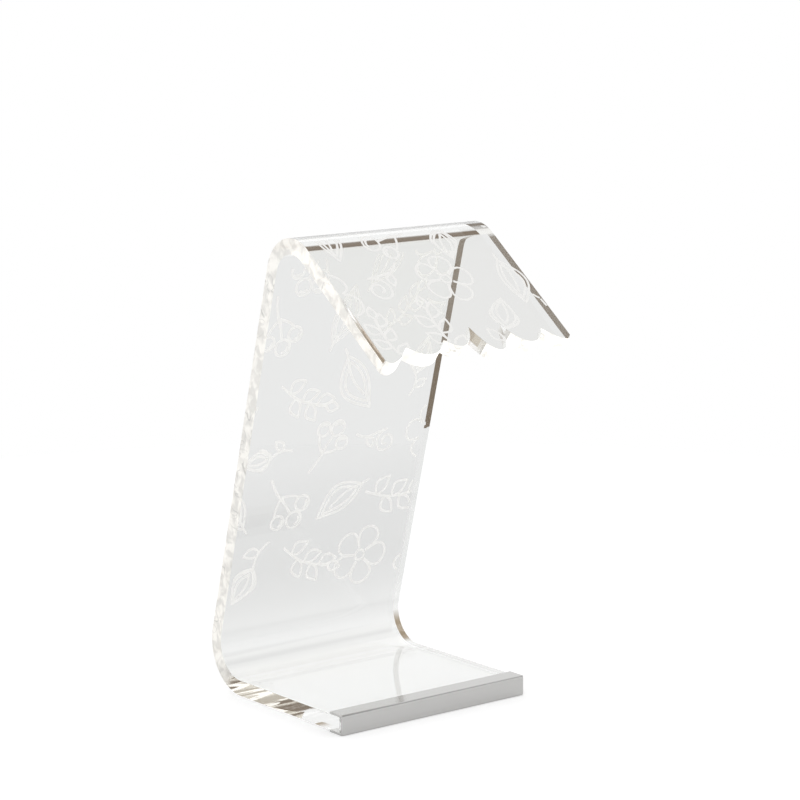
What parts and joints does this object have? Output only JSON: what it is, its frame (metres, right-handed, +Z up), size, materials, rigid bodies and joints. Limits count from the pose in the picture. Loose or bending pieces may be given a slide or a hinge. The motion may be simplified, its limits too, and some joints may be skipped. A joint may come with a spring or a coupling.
{
  "type": "table lamp",
  "caption": "Edge-lit table lamp of one bent clear acrylic sheet with a scalloped lip, standing in an aluminium U profile that holds an LED strip.",
  "frame": {"origin": "on the table, under the middle of the lamp's whole width and depth", "axes": "+Z up, +X along the aluminium profile to the lamp's right, -Y towards the front, where the lip points"},
  "size_m": [0.145, 0.1828, 0.2996],
  "materials": {
    "clear_acrylic": "polished",
    "brushed_aluminium": "satin",
    "foam_tape": "matte",
    "white_board": "satin",
    "led_cup": "satin",
    "phosphor_gel": "gloss",
    "resistor": "satin",
    "solder": "satin",
    "red_wire": "satin",
    "black_wire": "satin",
    "white_rubber": "matte",
    "clear_silicone": "satin"
  },
  "bodies": {
    "root": {"acrylic_body": "clear_acrylic", "base_channel": "brushed_aluminium", "strip_tape": "foam_tape", "strip_board": "white_board", "led_cup_1": "led_cup", "led_cup_2": "led_cup", "led_cup_3": "led_cup", "led_cup_4": "led_cup", "led_cup_5": "led_cup", "led_cup_6": "led_cup", "led_cup_7": "led_cup", "led_cup_8": "led_cup", "led_cup_9": "led_cup", "led_cup_10": "led_cup", "led_cup_11": "led_cup", "led_cup_12": "led_cup", "led_cup_13": "led_cup", "led_cup_14": "led_cup", "led_cup_15": "led_cup", "led_gel_1": "phosphor_gel", "led_gel_2": "phosphor_gel", "led_gel_3": "phosphor_gel", "led_gel_4": "phosphor_gel", "led_gel_5": "phosphor_gel", "led_gel_6": "phosphor_gel", "led_gel_7": "phosphor_gel", "led_gel_8": "phosphor_gel", "led_gel_9": "phosphor_gel", "led_gel_10": "phosphor_gel", "led_gel_11": "phosphor_gel", "led_gel_12": "phosphor_gel", "led_gel_13": "phosphor_gel", "led_gel_14": "phosphor_gel", "led_gel_15": "phosphor_gel", "strip_resistor_1": "resistor", "strip_resistor_2": "resistor", "strip_resistor_3": "resistor", "strip_resistor_4": "resistor", "strip_resistor_5": "resistor", "solder_joint_plus": "solder", "solder_joint_minus": "solder", "feed_wire_plus": "red_wire", "feed_wire_minus": "black_wire", "lead_grommet": "white_rubber", "foot_left": "clear_silicone", "foot_right": "clear_silicone"}
  },
  "joints": []
}
